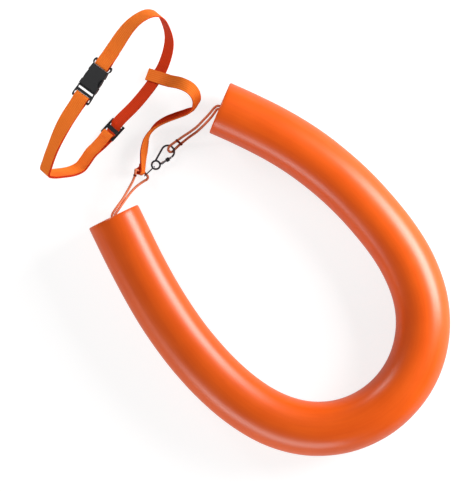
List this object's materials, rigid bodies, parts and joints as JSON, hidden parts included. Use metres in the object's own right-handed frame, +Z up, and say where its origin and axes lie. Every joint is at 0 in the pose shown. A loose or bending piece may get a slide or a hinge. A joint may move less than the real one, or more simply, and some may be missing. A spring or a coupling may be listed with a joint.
{
  "type": "foam swim belt",
  "caption": "Foam stick bent into a U, closed by a cord with a snap hook, with a webbing tether that carries an adjustable waist belt with a side-release buckle.",
  "frame": {"origin": "under the middle of the object, on the surface that the foam stick lies on", "axes": "+Z up out of the U's plane, +Y towards the belt at the U's open end, +X to the right as seen from above"},
  "size_m": [0.5271, 0.5726, 0.0941],
  "materials": {
    "foam": "satin",
    "cord": "matte",
    "webbing": "matte",
    "acetal": "satin",
    "steel": "polished",
    "dark_steel": "satin"
  },
  "bodies": {
    "foam": {"foam_tube": "foam", "bore_cord_a": "cord", "bore_cord_b": "cord", "end_loop_cord_left": "cord", "end_loop_cord_right": "cord"},
    "tether": {"tether_strap": "webbing"},
    "belt": {"belt_strap": "webbing", "buckle_receptacle": "acetal"},
    "plug": {"buckle_plug": "acetal"},
    "prong_l": {"prong_left": "acetal"},
    "prong_r": {"prong_right": "acetal"},
    "slider": {"slider": "acetal"},
    "hook": {"hook_body": "steel", "hook_link": "steel", "gate_pin": "steel"},
    "gate": {"hook_gate": "steel", "gate_spring": "steel"},
    "sleeve": {"gate_sleeve": "dark_steel"}
  },
  "joints": [
    {"name": "tether_swing", "type": "hinge", "parent": "foam", "child": "tether", "pos_m": [-0.13475, 0.07875, 0.0138], "axis": [0, 0, 1], "range_deg": [-5, 30], "deforming": ["end_loop_cord_left", "end_loop_cord_right"]},
    {"name": "belt_slip", "type": "slide", "parent": "tether", "child": "belt", "axis": [-0.5392, -0.8268, -0.1601], "range_m": [-0.01, 0.01], "deforming": ["belt_strap"]},
    {"name": "buckle_release", "type": "slide", "parent": "belt", "child": "plug", "axis": [-0.5543, -0.8201, -0.1421], "range_m": [0, 0.03], "deforming": ["belt_strap", "prong_left", "prong_right"]},
    {"name": "prong_left_press", "type": "hinge", "parent": "plug", "child": "prong_l", "pos_m": [-0.19424, 0.17889, 0.07738], "axis": [-0.3024, 0.0394, 0.9524], "range_deg": [0, 8], "stiffness_Nm_per_rad": 0.3},
    {"name": "prong_right_press", "type": "hinge", "parent": "plug", "child": "prong_r", "pos_m": [-0.20639, 0.18783, 0.07316], "axis": [0.3024, -0.0394, -0.9524], "range_deg": [0, 8], "stiffness_Nm_per_rad": 0.3},
    {"name": "slider_travel", "type": "slide", "parent": "belt", "child": "slider", "axis": [0.6736, 0.7388, -0.021], "range_m": [-0.012, 0.015], "deforming": ["belt_strap"]},
    {"name": "hook_swing", "type": "hinge", "parent": "foam", "child": "hook", "pos_m": [-0.12684, 0.07426, 0.0054], "axis": [0, 0, 1], "range_deg": [-8, 8], "deforming": ["end_loop_cord_left", "end_loop_cord_right"]},
    {"name": "gate_swing", "type": "hinge", "parent": "hook", "child": "gate", "pos_m": [-0.10617, 0.08888, 0.0054], "axis": [0, 0, 1], "range_deg": [0, 26], "stiffness_Nm_per_rad": 0.02, "springref_deg": -14.9},
    {"name": "sleeve_travel", "type": "slide", "parent": "gate", "child": "sleeve", "axis": [0.8404, 0.542, 0], "range_m": [-0.003, 0.004]}
  ]
}
